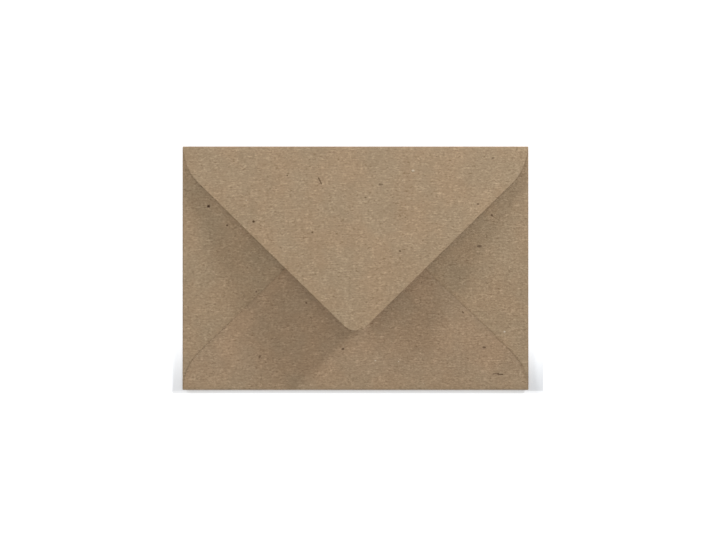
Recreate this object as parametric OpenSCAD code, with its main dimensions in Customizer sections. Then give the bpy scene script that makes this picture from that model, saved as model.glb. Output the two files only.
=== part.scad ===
// Paper envelope with a deep pointed seal flap, folded from one sheet.
// It lies on its front panel with the seal flap on top, a little open.
// The origin is the middle of the panel's lower face. X runs along the width,
// Y runs up to the top fold and Z points away from the table. Millimetres.

/* [Envelope] */
// Width over the two side folds
envelope_w = 162; // [140:1:230]
// Height from the bottom fold to the top fold
envelope_h = 114; // [102:1:160]

/* [Paper] */
// Thickness of the paper
paper_t = 0.15; // [0.08:0.01:0.3]
// Clear depth of the empty pocket, from the front panel to the side flaps
pocket_gap = 0.6; // [0.3:0.1:3]
// Clear depth between one layer of flaps and the next
layer_gap = 0.06; // [0.04:0.01:0.3]
// Length that each fold stops short of the folds beside it
corner_gap = 0.1; // [0.05:0.05:2]

/* [Seal flap] */
// Depth of the seal flap along the paper, from the top fold to the tip
seal_depth = 86.3; // [60:0.1:100]
// Radius of its shoulders, next to the top fold
seal_shoulder_r = 24.4; // [4:0.1:30]
// Radius of its tip
seal_tip_r = 7.3; // [2:0.1:20]
// Angle at which it stands open, where 0 lies flat on the bottom flap
seal_lift = 5.5; // [0:0.1:120]

/* [Bottom flap] */
// Depth of the bottom flap, from the bottom fold to the tip
bottom_depth = 83; // [70:0.1:96]
// Radius of its shoulders, next to the bottom fold
bottom_shoulder_r = 25.5; // [8:0.1:28]
// Radius of its tip
bottom_tip_r = 14; // [4:0.1:24]

/* [Side flaps] */
// Reach of each side flap, from the side fold to the tip
side_reach = 63; // [50:0.1:68]
// Radius of the shoulders at both ends of a side fold
side_shoulder_r = 12; // [3:0.1:20]
// Radius of the tip
side_tip_r = 10; // [4:0.1:20]
// Dry margin left round each glued seam
seam_margin = 2; // [1:0.1:3]

/* [Hidden] */

// Facets of a full circle in the preview
$fn = 96;

// A straight flank runs this far inside the arcs that it touches, so that it
// crosses them cleanly
flank_overlap = 0.002;

// Height of the lower face of each layer of flaps above the table
side_z = paper_t + pocket_gap;
bottom_z = side_z + paper_t + layer_gap;
seal_z = bottom_z + paper_t + layer_gap;

// Outer radius of the fold that brings the paper up to each layer
side_fold_r = (side_z + paper_t) / 2;
bottom_fold_r = (bottom_z + paper_t) / 2;
seal_fold_r = (seal_z + paper_t) / 2;

// The flat panel ends where its folds begin
panel_x = envelope_w / 2 - side_fold_r;
panel_bottom_y = bottom_fold_r - envelope_h / 2;
panel_top_y = envelope_h / 2 - seal_fold_r;

// Length of each fold, and the middle of the side folds
cross_fold_len = 2 * (panel_x - corner_gap);
side_fold_len = panel_top_y - panel_bottom_y - 2 * corner_gap;
side_mid_y = (panel_top_y + panel_bottom_y) / 2;

// Outward direction of the straight flank that touches a shoulder and a tip
function flank_normal(shoulder_x, tip_y, shoulder_r, tip_r) =
    let (
        span = norm([shoulder_x, tip_y]),
        angle = atan2(tip_y, -shoulder_x) - acos((shoulder_r - tip_r) / span)
    )
    [cos(angle), sin(angle)];

// Flap outline above its fold, which runs along X. Depths count from the outer
// edge of the fold, and the flat part begins at start. An inset moves all
// three free sides inwards.
module flap_outline(base, depth, shoulder_r, tip_r, start, inset = 0) {
    shoulder_x = base / 2 - shoulder_r;
    tip_y = depth - tip_r;
    n = flank_normal(shoulder_x, tip_y, shoulder_r, tip_r);
    shoulder_end = [shoulder_x, 0] + (shoulder_r - inset - flank_overlap) * n;
    tip_end = [0, tip_y] + (tip_r - inset - flank_overlap) * n;
    intersection() {
        union() {
            polygon([
                [shoulder_x, 0],
                shoulder_end,
                tip_end,
                [-tip_end.x, tip_end.y],
                [-shoulder_end.x, shoulder_end.y],
                [-shoulder_x, 0]
            ]);
            for (side = [-1, 1])
                translate([side * shoulder_x, 0])
                    circle(r = shoulder_r - inset);
            translate([0, tip_y])
                circle(r = tip_r - inset);
        }
        translate([-base / 2, start + inset])
            square([base, depth]);
    }
}

// Paper bent round the X axis through an angle, from straight below the axis
// and out to +Y
module fold(outer_r, length, angle = 180) {
    rotate([0, 90, 0])
        rotate_extrude(angle = angle)
            translate([outer_r - paper_t, -length / 2])
                square([paper_t, length]);
}

module seal_outline() {
    flap_outline(cross_fold_len, seal_depth, seal_shoulder_r, seal_tip_r, seal_fold_r);
}

module bottom_outline(inset = 0) {
    translate([0, -envelope_h / 2])
        flap_outline(cross_fold_len, bottom_depth, bottom_shoulder_r, bottom_tip_r, bottom_fold_r, inset);
}

module side_outline(side, inset = 0) {
    translate([side * envelope_w / 2, side_mid_y])
        rotate(side * 90)
            flap_outline(side_fold_len, side_reach, side_shoulder_r, side_tip_r, side_fold_r, inset);
}

module panel() {
    translate([-panel_x, panel_bottom_y, 0])
        cube([2 * panel_x, panel_top_y - panel_bottom_y, paper_t]);
}

// One side fold and its flap, on the side given by -1 or 1
module side_flap(side) {
    translate([side * panel_x, side_mid_y, side_fold_r])
        rotate(-side * 90)
            fold(side_fold_r, side_fold_len);
    translate([0, 0, side_z])
        linear_extrude(height = paper_t)
            side_outline(side);
}

module bottom_flap() {
    translate([0, panel_bottom_y, bottom_fold_r])
        rotate(180)
            fold(bottom_fold_r, cross_fold_len);
    translate([0, 0, bottom_z])
        linear_extrude(height = paper_t)
            bottom_outline();
}

// Glue between the bottom flap and one side flap, wherever they overlap
module glued_seam(side) {
    translate([0, 0, side_z + paper_t])
        linear_extrude(height = layer_gap)
            intersection() {
                bottom_outline(seam_margin);
                side_outline(side, seam_margin);
            }
}

// The seal flap leaves its fold early, so that it rises towards its tip
module seal_flap() {
    translate([0, panel_top_y, seal_fold_r]) {
        fold(seal_fold_r, cross_fold_len, 180 - seal_lift);
        rotate([-seal_lift, 0, 0])
            translate([0, seal_fold_r, seal_fold_r - paper_t])
                linear_extrude(height = paper_t)
                    mirror([0, 1])
                        seal_outline();
    }
}

module envelope() {
    color([0.64, 0.55, 0.45])
        union() {
            panel();
            for (side = [-1, 1]) {
                side_flap(side);
                glued_seam(side);
            }
            bottom_flap();
            seal_flap();
        }
}

envelope();
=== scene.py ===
import math

import bpy
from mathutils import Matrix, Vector


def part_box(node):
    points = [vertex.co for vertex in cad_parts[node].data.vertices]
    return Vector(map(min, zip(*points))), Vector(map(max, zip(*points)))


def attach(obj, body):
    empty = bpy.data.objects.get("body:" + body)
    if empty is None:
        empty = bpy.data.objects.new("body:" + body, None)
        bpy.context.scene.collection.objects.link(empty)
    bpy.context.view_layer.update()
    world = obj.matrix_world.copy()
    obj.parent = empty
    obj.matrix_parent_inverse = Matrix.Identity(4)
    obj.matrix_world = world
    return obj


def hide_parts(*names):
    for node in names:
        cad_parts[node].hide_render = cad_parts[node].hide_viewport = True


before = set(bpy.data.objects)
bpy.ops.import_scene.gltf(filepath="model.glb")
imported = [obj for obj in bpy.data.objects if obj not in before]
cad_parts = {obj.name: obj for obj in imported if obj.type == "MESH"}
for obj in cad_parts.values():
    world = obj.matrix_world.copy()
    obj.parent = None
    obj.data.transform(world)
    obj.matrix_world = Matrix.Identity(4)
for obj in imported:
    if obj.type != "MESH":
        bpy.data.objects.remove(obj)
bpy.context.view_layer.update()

# The envelope lies on its front panel. X runs along its width, Y up to the seal
# flap's fold and Z away from the floor. Lengths are in metres.
MM = 0.001
LOW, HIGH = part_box("envelope")
WIDTH = HIGH.x - LOW.x
HEIGHT = HIGH.y - LOW.y

PAPER = 0.15 * MM
POCKET_GAP = 0.6 * MM
LAYER_GAP = 0.06 * MM
CORNER_GAP = 0.1 * MM

# Height of the lower face of each layer of flaps, and the outer fold radius
# that brings the paper up to it
SIDE_Z = PAPER + POCKET_GAP
BOTTOM_Z = SIDE_Z + PAPER + LAYER_GAP
SEAL_Z = BOTTOM_Z + PAPER + LAYER_GAP
SIDE_FOLD_R = (SIDE_Z + PAPER) / 2
BOTTOM_FOLD_R = (BOTTOM_Z + PAPER) / 2
SEAL_FOLD_R = (SEAL_Z + PAPER) / 2

# The flat panel ends where its folds begin
PANEL_X = WIDTH / 2 - SIDE_FOLD_R
PANEL_BOTTOM_Y = BOTTOM_FOLD_R - HEIGHT / 2
PANEL_TOP_Y = HEIGHT / 2 - SEAL_FOLD_R
SIDE_MID_Y = (PANEL_TOP_Y + PANEL_BOTTOM_Y) / 2
CROSS_FOLD = 2 * (PANEL_X - CORNER_GAP)
SIDE_FOLD = PANEL_TOP_Y - PANEL_BOTTOM_Y - 2 * CORNER_GAP

# The folds at the top and bottom widen by this much at each end, so that they
# cover the corners, and narrow again over this length of their flaps
FLARE = 0.45 * MM
FLARE_FADE = 2.5 * MM

# Fineness of the mesh: rows in a fold and in an arc of the outline, spacing of the
# rows between them, columns, and how far the outermost columns are from a free
# edge, which shrinks where a row is narrower than twice EDGE_FULL
FOLD_ROWS = 10
ARC_ROWS = 10
ROW_STEP = 1.8 * MM
CROSS_COLUMNS = 60
SIDE_COLUMNS = 42
EDGE_STEPS = [0, 0.2 * MM, 0.5 * MM, 1.0 * MM, 2.0 * MM]
EDGE_FULL = 8 * MM
POINT_WIDTH = 0.001 * MM
SHARP_ANGLE = math.radians(40)

# The flaps have broad waves, which are higher on the loose seal flap
WAVE_HEIGHT = 0.1 * MM
WAVE_LENGTH = 60 * MM
SEAL_WAVES = 3

# The dry margin of the bottom flap stands off the paper under it. It begins to
# rise beyond the fold, and loses the share MARGIN_FADE of its lift further on.
LEFT_MARGIN_LIFT = 0.12 * MM
RIGHT_MARGIN_LIFT = 0.07 * MM
MARGIN_WIDTH = 0.45 * MM
MARGIN_START = 4 * MM
MARGIN_FADE = 0.45
MARGIN_FADE_FROM = 28 * MM
MARGIN_FADE_LENGTH = 20 * MM

# The two lower corners spring up from the floor
CORNER_LIFT = 0.4 * MM
CORNER_REACH = 30 * MM

# Painted shade on the folds: how far the colour of each fold is drawn towards that of bark, to darken it
# where it turns away from the light
PAINTED_FOLD_SHADE = {"seal": 0.20, "bottom": 0.0, "left": 0.42, "right": 0.45}

# Kraft paper, as linear colours. The tints multiply them, and the last one makes the paper a little darker
# and redder on the bottom flap, which it reaches between two heights on the blank.
PULP_DARK = (0.235, 0.154, 0.083)
PULP_PALE = (0.587, 0.427, 0.270)
BARK = (0.060, 0.028, 0.012)
STRAW = (0.640, 0.540, 0.400)
COOL_TINT = (0.980, 1.0, 1.010)
WARM_TINT = (1.020, 1.0, 0.985)
LOWER_TINT = (1.002, 0.976, 0.979)
LOWER_V = (-50 * MM, -70 * MM)
PAPER_ROUGHNESS = 0.88
PAPER_SPECULAR = 0.25
RELIEF = 0.04 * MM
FIBRE_RELIEF = 0.35

# The inside of the paper has the pattern of a place this many metres away
INNER_SHIFT = 0.37

# Patterns of the paper: features for each metre, and how far they are drawn out
# along the width. Each row of strands is an angle and a scale. The ragged pattern
# breaks the edges of specks and marks by up to this share of their radius.
CLOUD_SCALE = 75
FLOC_SCALE, FLOC_STRETCH = 330, 1.5
PULP_SCALE, PULP_STRETCH = 1500, 1.6
TONE_SCALE, TONE_STRETCH = 1100, 2.0
STREAK_SCALE, STREAK_STRETCH, STREAK_ANGLE = 1500, 9.0, 0.05
STRANDS = [(0.05, 2200), (-0.28, 1900), (0.35, 2000)]
STRAND_STRETCH = 6.0
STRAND_WIDTH = 0.08
HUE_SCALE, HUE_SHIFT = 60, (0.53, 0.29, 0.0)
RAGGED_SCALE, RAGGED_STRETCH = 5000, 1.8
RAGGED_REACH = 0.8

# The mean tone between dark and pale pulp, and how far each pattern drives it. The
# grain is fainter where the flocs are dark. MIDDLE is the range of a pattern that
# counts there, and for the hue.
MEAN_TONE = 0.45
CLOUD_GAIN = 0.16
FLOC_GAIN = 0.16
GRAIN_GAIN = 0.73
STRAND_GAIN = 1.1
STREAK_GAIN = 0.5
FAINT_GRAIN, FULL_GRAIN = 0.45, 1.1
MIDDLE = (0.3, 0.7)

# Random specks: shift of their pattern in metres, cell and radius in millimetres,
# share of the cells that hold one, length in widths, swing to either side of the
# X axis in radians, and strength
DARK_SPECKS = [
    ((0.0, 0.0, 0.0), 3.0, 0.20, 0.35, 1.0, math.pi, 0.40),
    ((0.11, 0.05, 0.0), 7.0, 0.22, 0.30, 1.8, math.pi, 0.45),
    ((0.23, 0.31, 0.0), 9.0, 0.12, 0.45, 9.0, 0.5, 0.30),
]
PALE_SPECKS = [((0.41, 0.17, 0.0), 5.0, 0.20, 0.40, 1.4, math.pi, 0.30)]

# How much random specks bend, their least size in radii, and the distances from
# the middle, in radii, between which a speck or a mark fades in
SPECK_BEND = 0.6
SPECK_LEAST = 0.4
SPECK_EDGE = (1.0, 0.35)
MARK_EDGE = (1.2, 0.6)

# Bark specks and fibres that stand out: layer, X, Y, length, width in
# millimetres, angle in degrees and darkness
MARKS = [
    ("left", -68.8, 29.0, 0.15, 1.40, 0, 1.00),
    ("left", -60.1, 20.1, 0.3, 0.82, 0, 0.76),
    ("left", -46.5, -11.0, 0.1, 0.84, 0, 0.66),
    ("seal", -47.5, 21.7, 0.2, 1.20, 0, 0.89),
    ("seal", -31.9, 43.3, 0.1, 0.50, 0, 1.00),
    ("seal", -16.6, 40.8, 2.9, 0.80, -64, 0.69),
    ("seal", -20.1, 16.6, 0.2, 0.86, 80, 0.66),
    ("seal", 11.8, 39.1, 1.0, 1.12, 0, 0.56),
    ("seal", 4.7, 33.0, 0.3, 0.86, 0, 0.49),
    ("seal", 64.3, 51.5, 0.5, 0.88, 20, 0.58),
    ("seal", 57.2, 29.9, 0.4, 0.88, 0, 0.67),
    ("seal", 20.7, 7.9, 0.3, 0.84, 0, 0.78),
    ("right", 63.8, 24.8, 0.1, 1.02, 0, 0.82),
    ("right", 58.0, 10.3, 1.0, 1.22, 0, 0.57),
    ("bottom", -44.8, -41.4, 0.8, 1.10, 60, 0.50),
    ("bottom", -5.9, -37.8, 0.5, 1.02, 20, 0.80),
    ("bottom", -23.1, -16.3, 0.3, 0.63, 0, 0.76),
    ("bottom", 50.3, -20.7, 0.6, 0.60, -50, 0.70),
    ("bottom", 60.2, -37.1, 0.7, 0.95, 0, 0.70),
    ("bottom", 65.6, -49.4, 2.4, 0.40, 6, 0.67),
    ("bottom", 67.7, -49.6, 2.2, 0.65, -4, 0.91),
]
# Pale splinters, in the same way
SPLINTERS = [
    ("seal", -51.0, 31.7, 0.4, 0.42, 0, 0.60),
    ("seal", 26.9, 45.6, 0.4, 0.95, 0, 0.72),
    ("right", 69.8, -29.8, 0.3, 0.73, 0, 1.00),
    ("bottom", 9.3, -43.3, 0.2, 0.55, 0, 1.00),
    ("bottom", 20.2, -43.7, 0.1, 0.51, 0, 1.00),
]


def smooth(x):
    """Smooth rise from 0 to 1 between 0 and 1."""
    x = min(max(x, 0), 1)
    return x * x * (3 - 2 * x)


class Flap:
    """A flap of the blank: where it is folded, how far it turns and its outline."""

    def __init__(self, turn, fold_at, base, depth, shoulder_r, tip_r, fold_r, flare=0.0, lift=0.0, curl=0.0):
        self.along = Vector((math.cos(turn), math.sin(turn), 0))
        self.out = Vector((-math.sin(turn), math.cos(turn), 0))
        self.fold_at = Vector((*fold_at, 0))
        self.base = base
        self.depth = depth
        self.shoulder_r = shoulder_r
        self.tip_r = tip_r
        self.fold_r = fold_r
        self.flare = flare
        self.mid_r = fold_r - PAPER / 2
        self.bend = math.pi - lift
        self.curl = curl
        self.fold_len = self.bend * self.mid_r
        self.shoulder_x = base / 2 - shoulder_r
        self.tip_y = depth - tip_r
        span = math.hypot(self.shoulder_x, self.tip_y)
        self.flank = math.atan2(self.tip_y, -self.shoulder_x) - math.acos((shoulder_r - tip_r) / span)

    def arc(self, centre_x, centre_y, radius, start, end):
        """Depth and half width along a rounded stretch of the outline."""
        for k in range(1, ARC_ROWS + 1):
            angle = start + (end - start) * k / ARC_ROWS
            yield centre_y + radius * math.sin(angle), centre_x + radius * math.cos(angle)

    def outline(self):
        """Depth and half width of each row beyond the fold, down to the tip."""
        start = math.asin(self.fold_r / self.shoulder_r)
        shoulder = list(self.arc(self.shoulder_x, 0, self.shoulder_r, start, self.flank))
        tip = list(self.arc(0, self.tip_y, self.tip_r, self.flank, math.pi / 2))
        low = shoulder[-1]
        high = (
            self.tip_y + self.tip_r * math.sin(self.flank),
            self.tip_r * math.cos(self.flank),
        )
        steps = math.ceil((high[0] - low[0]) / ROW_STEP)
        flank = [
            (low[0] + (high[0] - low[0]) * k / steps, low[1] + (high[1] - low[1]) * k / steps)
            for k in range(1, steps + 1)
        ]
        return shoulder + flank + tip

    def rows(self):
        """Distance along the paper and half width of each row after the fold line."""
        shares = [k / FOLD_ROWS for k in range(1, FOLD_ROWS + 1)]
        rows = [(self.fold_len * k, self.base / 2 + self.flare * smooth(2 * k)) for k in shares]
        for depth, half_width in self.outline():
            beyond = depth - self.fold_r
            flare = self.flare * (1 - smooth(beyond / FLARE_FADE))
            rows.append((self.fold_len + beyond, max(half_width, 0) + flare))
        return rows

    def blank(self, across, run):
        """Place on the flat blank."""
        return self.fold_at + self.along * across + self.out * run

    def place(self, across, run):
        """Folded place of the middle of the paper, and the direction of its outer face."""
        angle = min(run / self.mid_r, self.bend)
        beyond = max(run - self.fold_len, 0)
        curl = self.curl * beyond / self.depth
        reach = self.mid_r * math.sin(angle) + beyond * math.cos(angle - curl / 2)
        point = self.fold_at + self.along * across + self.out * reach
        point.z = self.fold_r - self.mid_r * math.cos(angle) + beyond * math.sin(angle - curl / 2)
        return point, self.out * math.sin(angle - curl) - Vector((0, 0, math.cos(angle - curl)))

    def unfold(self, x, y):
        """Place on the blank of a point that is seen at x, y on the folded flap."""
        seen = Vector((x, y, 0)) - self.fold_at
        reach_at_fold = self.mid_r * math.sin(self.bend)
        beyond = (reach_at_fold - seen.dot(self.out)) / -math.cos(self.bend)
        return self.blank(seen.dot(self.along), self.fold_len + beyond)


# The seal flap rises from its fold, and curls up further towards its tip
SEAL_FLAP = {
    "turn": 0,
    "fold_at": (0, PANEL_TOP_Y),
    "base": CROSS_FOLD,
    "depth": 86.3 * MM,
    "shoulder_r": 24.4 * MM,
    "tip_r": 7.3 * MM,
    "fold_r": SEAL_FOLD_R,
    "flare": FLARE,
    "lift": math.radians(4.2),
    "curl": math.radians(2.6),
}
BOTTOM_FLAP = {
    "turn": math.pi,
    "fold_at": (0, PANEL_BOTTOM_Y),
    "base": CROSS_FOLD,
    "depth": 83 * MM,
    "shoulder_r": 25.5 * MM,
    "tip_r": 14 * MM,
    "fold_r": BOTTOM_FOLD_R,
    "flare": FLARE,
}
SIDE_FLAP = {
    "base": SIDE_FOLD,
    "depth": 63 * MM,
    "shoulder_r": 12 * MM,
    "tip_r": 10 * MM,
    "fold_r": SIDE_FOLD_R,
}
FLAPS = {
    "seal": Flap(**SEAL_FLAP),
    "bottom": Flap(**BOTTOM_FLAP),
    "left": Flap(turn=math.pi / 2, fold_at=(-PANEL_X, SIDE_MID_Y), **SIDE_FLAP),
    "right": Flap(turn=-math.pi / 2, fold_at=(PANEL_X, SIDE_MID_Y), **SIDE_FLAP),
}


def columns(half_width, count):
    """Places across a row: close together along both free edges, even in between."""
    squeeze = min(1, half_width / EDGE_FULL)
    edge = [half_width - step * squeeze for step in EDGE_STEPS]
    inner = edge.pop()
    middle = [inner * (2 * k / count - 1) for k in range(count + 1)]
    return [-e for e in edge] + middle + edge[::-1]


def waves(x, y):
    """Broad unevenness between -1 and 1, of two slanting waves that never quite repeat."""
    k = 2 * math.pi / WAVE_LENGTH
    first = math.sin(k * (x + 0.35 * y) + 0.6) * math.cos(0.8 * k * y - 0.4)
    second = math.sin(0.57 * k * (y - 0.5 * x) + 2.1)
    return 0.6 * first + 0.4 * second


def spring(x, y):
    """Height that the two lower corners spring up, for every layer alike."""
    corner = math.hypot(WIDTH / 2 - abs(x), HEIGHT / 2 + y)
    return CORNER_LIFT * max(1 - corner / CORNER_REACH, 0) ** 2


def margin_rise(flap, across, beyond, half_width):
    """Height that the dry margin of the bottom flap stands off."""
    lift = LEFT_MARGIN_LIFT if across > 0 else RIGHT_MARGIN_LIFT
    lift *= 1 - MARGIN_FADE * smooth((beyond - MARGIN_FADE_FROM) / MARGIN_FADE_LENGTH)
    to_edge = (half_width - abs(across)) * math.cos(flap.flank)
    return lift * (1 - smooth(to_edge / MARGIN_WIDTH)) * smooth(beyond / MARGIN_START)


def flap_rise(name, across, run, half_width):
    """Small height of a flap over its folded place."""
    flap = FLAPS[name]
    beyond = max(run - flap.fold_len, 0)
    rise = WAVE_HEIGHT * smooth(beyond / WAVE_LENGTH) * waves(*flap.blank(across, run).xy)
    if name == "seal":
        rise *= SEAL_WAVES
    elif name == "bottom":
        rise += margin_rise(flap, across, beyond, half_width)
    return rise


class Sheet:
    """The middle of the paper: points, directions of the outer face and places on the blank."""

    def __init__(self):
        self.points = []
        self.normals = []
        self.blank = []
        self.fold_shade = []
        self.faces = []

    def add(self, point, normal, blank, fold_shade=0.0):
        """Adds a point and returns its number."""
        self.points.append(point)
        self.normals.append(normal)
        self.blank.append(blank)
        self.fold_shade.append(fold_shade)
        return len(self.points) - 1

    def strip(self, near, far):
        """Faces between two rows, or between a row and the single point of a tip."""
        for k in range(len(near) - 1):
            end = [far[0]] if len(far) == 1 else [far[k + 1], far[k]]
            self.faces.append([near[k], near[k + 1], *end])

    def add_panel(self):
        """Adds the front panel and returns its rows of points."""
        xs = [-PANEL_X, *columns(CROSS_FOLD / 2, CROSS_COLUMNS), PANEL_X]
        ys = [SIDE_MID_Y + y for y in columns(SIDE_FOLD / 2, SIDE_COLUMNS)]
        ys = [PANEL_BOTTOM_Y, *ys, PANEL_TOP_Y]
        down = Vector((0, 0, -1))
        rows = [
            [self.add(Vector((x, y, PAPER / 2)), down, Vector((x, y, 0))) for x in xs] for y in ys
        ]
        for near, far in zip(rows, rows[1:]):
            self.strip(near, far)
        return rows

    def add_flap(self, name, edge, count):
        """Adds a flap whose first row is the panel's own edge."""
        flap = FLAPS[name]
        row = edge
        for run, half_width in flap.rows():
            spots = columns(half_width, count) if half_width > POINT_WIDTH else [0]
            new = []
            for across in spots:
                point, normal = flap.place(across, run)
                point.z += flap_rise(name, across, run, half_width)
                # Points on a fold get painted shade, which the material draws towards bark
                fold_shade = PAINTED_FOLD_SHADE[name] if run < flap.fold_len else 0.0
                new.append(self.add(point, normal, flap.blank(across, run), fold_shade))
            self.strip(row, new)
            row = new

    def rim(self):
        """The sheet's free edges, each in the order in which its face runs through it."""
        seen = {}
        for face in self.faces:
            for a, b in zip(face, face[1:] + face[:1]):
                seen[a, b] = True
        return [(a, b) for a, b in seen if (b, a) not in seen]

    def thicken(self):
        """Points, faces and blank places of the closed paper, outer face first."""
        count = len(self.points)
        points = [p + n * PAPER / 2 for p, n in zip(self.points, self.normals)]
        points += [p - n * PAPER / 2 for p, n in zip(self.points, self.normals)]
        for point in points:
            point.z += spring(point.x, point.y)
        faces = [face[::-1] for face in self.faces]
        faces += [[i + count for i in face] for face in self.faces]
        faces += [[a, b, b + count, a + count] for a, b in self.rim()]
        blank = [(b.x, b.y, side) for side in (0, 1) for b in self.blank]
        return points, faces, blank


def make_envelope():
    """The folded sheet as one closed mesh, with each point's place on the blank."""
    sheet = Sheet()
    rows = sheet.add_panel()
    left_column = [row[0] for row in rows]
    right_column = [row[-1] for row in rows]
    sheet.add_flap("seal", rows[-1][1:-1], CROSS_COLUMNS)
    sheet.add_flap("bottom", rows[0][-2:0:-1], CROSS_COLUMNS)
    sheet.add_flap("left", left_column[1:-1], SIDE_COLUMNS)
    sheet.add_flap("right", right_column[-2:0:-1], SIDE_COLUMNS)
    points, faces, blank = sheet.thicken()
    mesh = bpy.data.meshes.new("folded_sheet")
    mesh.from_pydata(points, [], faces)
    places = mesh.attributes.new("blank", "FLOAT_VECTOR", "POINT")
    places.data.foreach_set("vector", [value for place in blank for value in place])
    # Share of painted shade at each point, on the folds
    fold_shade = mesh.attributes.new("fold_shade", "FLOAT", "POINT")
    fold_shade.data.foreach_set("value", sheet.fold_shade * 2)
    mesh.shade_smooth()
    mesh.set_sharp_from_angle(angle=SHARP_ANGLE)
    mesh.validate()
    piece = bpy.data.objects.new("folded_sheet", mesh)
    bpy.context.scene.collection.objects.link(piece)
    return piece


class Shader:
    """Short calls for the nodes of one material, world or node group."""

    def __init__(self, tree):
        self.tree = tree

    def node(self, kind, inputs=(), **settings):
        """Adds a node. Inputs are pairs of a socket's name or number and a value or socket."""
        made = self.tree.nodes.new(kind)
        for name, value in settings.items():
            setattr(made, name, value)
        for key, value in inputs:
            if isinstance(value, bpy.types.NodeSocket):
                self.tree.links.new(value, made.inputs[key])
            else:
                made.inputs[key].default_value = value
        return made

    def math(self, operation, *values, clamp=False):
        """Result of a Math node."""
        made = self.node("ShaderNodeMath", enumerate(values), operation=operation, use_clamp=clamp)
        return made.outputs[0]

    def vector(self, operation, *values):
        """Vector result of a Vector Math node."""
        return self.node("ShaderNodeVectorMath", enumerate(values), operation=operation).outputs[0]

    def length(self, *values):
        """Length of the vector with these parts."""
        inputs = [(0, self.join(*values))]
        return self.node("ShaderNodeVectorMath", inputs, operation="LENGTH").outputs["Value"]

    def split(self, vector):
        """The three parts of a vector."""
        return self.node("ShaderNodeSeparateXYZ", [(0, vector)]).outputs

    def join(self, x, y, z=0.0):
        """Vector with these parts."""
        return self.node("ShaderNodeCombineXYZ", [(0, x), (1, y), (2, z)]).outputs[0]

    def spread(self, value, low, high, new_low=0.0, new_high=1.0):
        """Smooth change from one range to another."""
        inputs = [("Value", value), ("From Min", low), ("From Max", high)]
        inputs += [("To Min", new_low), ("To Max", new_high)]
        return self.node("ShaderNodeMapRange", inputs, interpolation_type="SMOOTHSTEP").outputs[0]

    def blend(self, share, a, b):
        """Mix of two colours, each a socket or three numbers."""
        ends = [end if isinstance(end, bpy.types.NodeSocket) else (*end, 1) for end in (a, b)]
        inputs = [(0, share), (6, ends[0]), (7, ends[1])]
        return self.node("ShaderNodeMix", inputs, data_type="RGBA").outputs[2]

    def noise(self, place, scale, detail=2.0):
        """Noise between about 0 and 1, with scale in features for each metre."""
        inputs = [("Vector", place), ("Scale", scale), ("Detail", detail), ("Roughness", 0.5)]
        return self.node("ShaderNodeTexNoise", inputs, noise_dimensions="2D").outputs[0]

    def rotate(self, place, angle):
        """The place turned round the Z axis."""
        inputs = [("Vector", place), ("Angle", angle)]
        return self.node("ShaderNodeVectorRotate", inputs, rotation_type="Z_AXIS").outputs[0]

    def drawn(self, place, stretch, angle=0.0):
        """The place turned by an angle and drawn out along the turned X axis."""
        return self.vector("MULTIPLY", self.rotate(place, angle), (1 / stretch, 1, 1))

    def centred(self, value):
        """A pattern round 0."""
        return self.math("SUBTRACT", value, 0.5)


def speck_mask(g, place, ragged, cell, radius, share, length, swing):
    """Mask of random specks, at most one in each cell, longer than wide by length and
    turned from the X axis by up to swing either way. Ragged is what breaks their edges."""
    scaled = g.vector("MULTIPLY", place, (1 / cell, 1 / cell, 1 / cell))
    inputs = [("Vector", scaled), ("Scale", 1.0)]
    cells = g.node("ShaderNodeTexVoronoi", inputs, voronoi_dimensions="2D")
    chance, turn, size = g.split(cells.outputs["Color"])
    local = g.vector("SUBTRACT", scaled, cells.outputs["Position"])
    x, y, z = g.split(g.rotate(local, g.math("MULTIPLY_ADD", turn, 2 * swing, -swing)))
    bent = g.math("ADD", y, g.math("MULTIPLY", g.math("MULTIPLY", x, x), SPECK_BEND))
    away = g.length(g.math("DIVIDE", x, length), bent)
    reach = g.math("MULTIPLY", g.math("ADD", size, SPECK_LEAST), radius / cell)
    inside = g.spread(g.math("ADD", g.math("DIVIDE", away, reach), ragged), *SPECK_EDGE)
    return g.math("MULTIPLY", inside, g.math("LESS_THAN", chance, share))


def random_specks(g, place, ragged, kinds):
    """Mask of all the random specks of a list."""
    total = 0.0
    for shift, cell, radius, share, length, swing, strength in kinds:
        moved = g.vector("ADD", place, shift)
        mask = speck_mask(g, moved, ragged, cell * MM, radius * MM, share, length, swing)
        total = g.math("MAXIMUM", total, g.math("MULTIPLY", mask, strength))
    return total


def mark_group():
    """Node group that gives the mask of one speck or fibre of the paper."""
    tree = bpy.data.node_groups.new("bark_mark", "ShaderNodeTree")
    face = tree.interface
    face.new_socket("Place", in_out="INPUT", socket_type="NodeSocketVector")
    face.new_socket("Centre", in_out="INPUT", socket_type="NodeSocketVector")
    for name in ("Ragged", "Angle", "Half Length", "Half Width", "Darkness"):
        face.new_socket(name, in_out="INPUT", socket_type="NodeSocketFloat")
    face.new_socket("Mask", in_out="OUTPUT", socket_type="NodeSocketFloat")
    g = Shader(tree)
    given = g.node("NodeGroupInput").outputs
    local = g.vector("SUBTRACT", given["Place"], given["Centre"])
    x, y, z = g.split(g.rotate(local, g.math("MULTIPLY", given["Angle"], -1.0)))
    past = g.math("MAXIMUM", g.math("SUBTRACT", g.math("ABSOLUTE", x), given["Half Length"]), 0.0)
    away = g.math("DIVIDE", g.length(past, y, z), given["Half Width"])
    mask = g.spread(g.math("ADD", away, given["Ragged"]), *MARK_EDGE)
    g.node("NodeGroupOutput", [("Mask", g.math("MULTIPLY", mask, given["Darkness"]))])
    return tree


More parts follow.
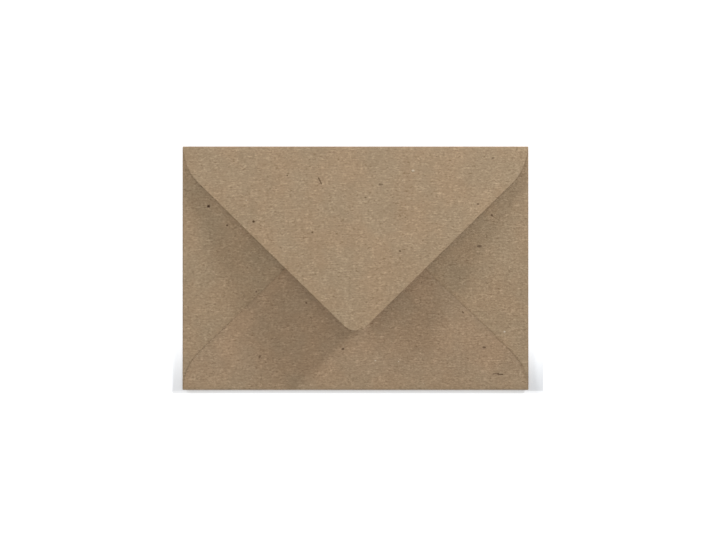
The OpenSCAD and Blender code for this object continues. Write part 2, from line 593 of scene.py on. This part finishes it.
def placed_marks(g, place, ragged, outer, group, marks):
    """Mask of all the marks of a list, which are on the outer face only."""
    total = 0.0
    for layer, x, y, length, width, angle, darkness in marks:
        flap = FLAPS[layer]
        angle = math.radians(angle)
        along = Vector((math.cos(angle), math.sin(angle))) * MM
        centre = flap.unfold(x * MM, y * MM)
        end = flap.unfold(x * MM + along.x, y * MM + along.y) - centre
        inputs = {
            "Place": place,
            "Centre": centre,
            "Ragged": ragged,
            "Angle": math.atan2(end.y, end.x),
            "Half Length": length * MM / 2,
            "Half Width": width * MM / 2,
            "Darkness": darkness,
        }
        mark = g.node("ShaderNodeGroup", inputs.items(), node_tree=group)
        total = g.math("MAXIMUM", total, mark.outputs["Mask"])
    return g.math("MULTIPLY", total, outer)


def pulp_colour(g, place, v):
    """Colour of the bare pulp, and the height of its relief. V runs along the blank."""
    cloud = g.centred(g.noise(place, CLOUD_SCALE))
    floc = g.noise(g.drawn(place, FLOC_STRETCH), FLOC_SCALE)
    pulp = g.noise(g.drawn(place, PULP_STRETCH), PULP_SCALE)
    fibre = 0.0
    for angle, scale in STRANDS:
        strands = g.noise(g.drawn(place, STRAND_STRETCH, angle), scale, 1.0)
        ridge = g.math("ABSOLUTE", g.centred(strands))
        fibre = g.math("ADD", fibre, g.spread(ridge, STRAND_WIDTH, 0.0))
    strand_tone = g.centred(g.noise(g.drawn(place, TONE_STRETCH), TONE_SCALE, 1.0))
    streak = g.noise(g.drawn(place, STREAK_STRETCH, STREAK_ANGLE), STREAK_SCALE, 1.0)

    strand_tone = g.math("MULTIPLY", strand_tone, fibre)
    grain = g.math("MULTIPLY_ADD", strand_tone, STRAND_GAIN, g.centred(pulp))
    grain = g.math("MULTIPLY_ADD", g.centred(streak), STREAK_GAIN, grain)
    grain = g.math("MULTIPLY", grain, g.spread(floc, *MIDDLE, FAINT_GRAIN, FULL_GRAIN))
    tone = g.math("MULTIPLY_ADD", cloud, CLOUD_GAIN, MEAN_TONE)
    tone = g.math("MULTIPLY_ADD", g.centred(floc), FLOC_GAIN, tone)
    tone = g.math("MULTIPLY_ADD", grain, GRAIN_GAIN, tone, clamp=True)
    colour = g.blend(tone, PULP_DARK, PULP_PALE)

    hue = g.spread(g.noise(g.vector("ADD", place, HUE_SHIFT), HUE_SCALE), *MIDDLE)
    colour = g.vector("MULTIPLY", colour, g.blend(hue, COOL_TINT, WARM_TINT))
    lower = g.blend(g.spread(v, *LOWER_V), (1, 1, 1), LOWER_TINT)
    colour = g.vector("MULTIPLY", colour, lower)
    return colour, g.math("MULTIPLY_ADD", fibre, FIBRE_RELIEF, pulp)


def kraft_paper():
    """Uncoated kraft paper: cloudy pulp, fibres along the width, bark specks, relief and painted shade on
    the folds.
    """
    material = bpy.data.materials.new("kraft_paper")
    material.use_nodes = True
    material.node_tree.nodes.clear()
    g = Shader(material.node_tree)
    attribute = g.node("ShaderNodeAttribute", attribute_name="blank")
    u, v, side = g.split(attribute.outputs["Vector"])
    place = g.join(g.math("ADD", u, g.math("MULTIPLY", side, INNER_SHIFT)), v)
    outer = g.math("LESS_THAN", side, 0.5)

    colour, height = pulp_colour(g, place, v)
    # Painted shade on the folds: their colour is drawn towards that of bark
    fold_shade = g.node("ShaderNodeAttribute", attribute_name="fold_shade").outputs["Fac"]
    colour = g.blend(fold_shade, colour, BARK)

    group = mark_group()
    ragged = g.noise(g.drawn(place, RAGGED_STRETCH), RAGGED_SCALE)
    ragged = g.math("MULTIPLY_ADD", ragged, 2 * RAGGED_REACH, -RAGGED_REACH)
    for kinds, marks, tint in ((DARK_SPECKS, MARKS, BARK), (PALE_SPECKS, SPLINTERS, STRAW)):
        strewn = random_specks(g, place, ragged, kinds)
        placed = placed_marks(g, place, ragged, outer, group, marks)
        colour = g.blend(g.math("MAXIMUM", strewn, placed), colour, tint)

    bump = g.node("ShaderNodeBump", [("Strength", 1.0), ("Distance", RELIEF), ("Height", height)])
    surface = g.node("ShaderNodeBsdfPrincipled")
    surface.inputs["Roughness"].default_value = PAPER_ROUGHNESS
    surface.inputs["Specular IOR Level"].default_value = PAPER_SPECULAR
    g.tree.links.new(colour, surface.inputs["Base Color"])
    g.tree.links.new(bump.outputs[0], surface.inputs["Normal"])
    g.node("ShaderNodeOutputMaterial", [("Surface", surface.outputs[0])])
    return material


# White floor and even sky. Seen directly, both are lifted to white, and the floor
# keeps the deeper part of the envelope's shadow: it glows less in front, and least
# at the right, but more again just past the envelope's lower edge. SHADOW_X and
# SHADOW_Y are each an edge, and the width over which the floor past it turns white.
FLOOR_SIZE = 30
FLOOR_DROP = 0.02 * MM
FLOOR_COLOUR = (0.93, 0.93, 0.93)
FRONT_GLOW = 0.14
BACK_GLOW = 0.45
GLOW_Y = (-57 * MM, -30 * MM)
RIGHT_GLOW = 0.03
RIGHT_X = (76 * MM, 84 * MM)
RIM_GLOW = 0.25
RIM_Y = (-57.3 * MM, -57.7 * MM)
SHADOW_X = (86.2 * MM, 2.4 * MM)
SHADOW_Y = (57.8 * MM, 2.1 * MM)

# Strength of the sky, and how much more of it comes from the front
SKY = 0.478
SKY_LEAN = 0.30
LAMP_COLOUR = (0.955, 1.0, 1.07)

# The camera looks straight down. The frame is this wide at the middle height of
# the lower fold, where the outline is widest.
LENS = 85
SENSOR = 36
FRAME_WIDTH = 335.4 * MM
CAMERA_X = 1.17 * MM
CAMERA_Y = -0.87 * MM


def seen_directly(g):
    """1 for rays from the camera, mirrored rays and rays through glass."""
    rays = g.node("ShaderNodeLightPath").outputs
    mirrored = g.math("MAXIMUM", rays["Is Glossy Ray"], rays["Is Transmission Ray"])
    return g.math("MAXIMUM", rays["Is Camera Ray"], mirrored)


def past_edge(g, value, edge, width):
    """How far the value is past the edge on either side of 0, as a share of the width."""
    past = g.math("SUBTRACT", g.math("ABSOLUTE", value), edge)
    return g.math("DIVIDE", g.math("MAXIMUM", past, 0.0), width)


def white_floor():
    """Matt white that is lifted to pure white outside the envelope's shadow."""
    material = bpy.data.materials.new("white_floor")
    material.use_nodes = True
    material.node_tree.nodes.clear()
    g = Shader(material.node_tree)
    matt = g.node("ShaderNodeBsdfDiffuse", [("Color", (*FLOOR_COLOUR, 1))]).outputs[0]
    x, y, z = g.split(g.node("ShaderNodeNewGeometry").outputs["Position"])
    front = g.spread(x, *RIGHT_X, FRONT_GLOW, RIGHT_GLOW)
    glow = g.spread(y, *GLOW_Y, front, BACK_GLOW)
    glow = g.math("MAXIMUM", glow, g.spread(y, *RIM_Y, 0.0, RIM_GLOW))
    past_x = past_edge(g, g.math("SUBTRACT", x, CAMERA_X), *SHADOW_X)
    past_y = past_edge(g, y, *SHADOW_Y)
    glow = g.math("MAXIMUM", glow, g.spread(g.length(past_x, past_y), 0.0, 1.0))
    glow = g.math("MULTIPLY", glow, seen_directly(g))
    light = g.node("ShaderNodeEmission", [("Strength", glow)]).outputs[0]
    both = g.node("ShaderNodeAddShader", [(0, matt), (1, light)]).outputs[0]
    g.node("ShaderNodeOutputMaterial", [("Surface", both)])
    return material


def make_floor():
    """A wide floor, just under the envelope."""
    half = FLOOR_SIZE / 2
    outline = [(-half, -half), (half, -half), (half, half), (-half, half)]
    mesh = bpy.data.meshes.new("floor")
    mesh.from_pydata([(x, y, -FLOOR_DROP) for x, y in outline], [], [range(4)])
    mesh.materials.append(white_floor())
    floor = bpy.data.objects.new("floor", mesh)
    bpy.context.scene.collection.objects.link(floor)


def make_sky():
    """Soft light from all round, which looks white when it is seen directly."""
    world = bpy.data.worlds.new("sky")
    bpy.context.scene.world = world
    world.use_nodes = True
    world.node_tree.nodes.clear()
    g = Shader(world.node_tree)
    direction = g.node("ShaderNodeTexCoord").outputs["Generated"]
    north = g.split(direction)[1]
    light = g.math("MULTIPLY_ADD", north, -SKY_LEAN, SKY)
    strength = g.math("MAXIMUM", seen_directly(g), light)
    inputs = [("Color", (1, 1, 1, 1)), ("Strength", strength)]
    background = g.node("ShaderNodeBackground", inputs).outputs[0]
    g.node("ShaderNodeOutputWorld", [("Surface", background)])


def make_lamp(name, azimuth, elevation, distance, width, height, share):
    """A soft lamp aimed at the envelope, with its angles in degrees. Share is how far
    it alone lights a flat white surface there, where 1 is white."""
    azimuth, elevation = math.radians(azimuth), math.radians(elevation)
    level = math.cos(elevation)
    towards = Vector((math.cos(azimuth) * level, math.sin(azimuth) * level, math.sin(elevation)))
    lamp = bpy.data.lights.new(name, "AREA")
    lamp.color = LAMP_COLOUR
    lamp.shape = "RECTANGLE"
    lamp.size = width
    lamp.size_y = height
    lamp.energy = share * math.pi**2 * distance**2 / math.sin(elevation)
    holder = bpy.data.objects.new(name, lamp)
    holder.location = towards * distance
    holder.rotation_euler = towards.to_track_quat("Z", "Y").to_euler()
    holder.visible_camera = False
    bpy.context.scene.collection.objects.link(holder)


def make_camera():
    """The camera, straight above the envelope."""
    view = bpy.data.cameras.new("camera")
    view.lens = LENS
    view.sensor_width = SENSOR
    view.sensor_fit = "HORIZONTAL"
    camera = bpy.data.objects.new("camera", view)
    camera.location = (CAMERA_X, CAMERA_Y, BOTTOM_FOLD_R + FRAME_WIDTH * LENS / SENSOR)
    bpy.context.scene.collection.objects.link(camera)
    bpy.context.scene.camera = camera


envelope = make_envelope()
envelope.data.materials.append(kraft_paper())
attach(envelope, "root")
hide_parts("envelope")

make_floor()
make_sky()
make_lamp("key_lamp", azimuth=40.5, elevation=10.6, distance=0.71, width=0.067, height=0.067, share=0.212)
make_lamp("second_lamp", azimuth=156.6, elevation=15.2, distance=0.84, width=0.63, height=0.10, share=0.188)
make_camera()
bpy.context.scene.view_settings.view_transform = "Standard"
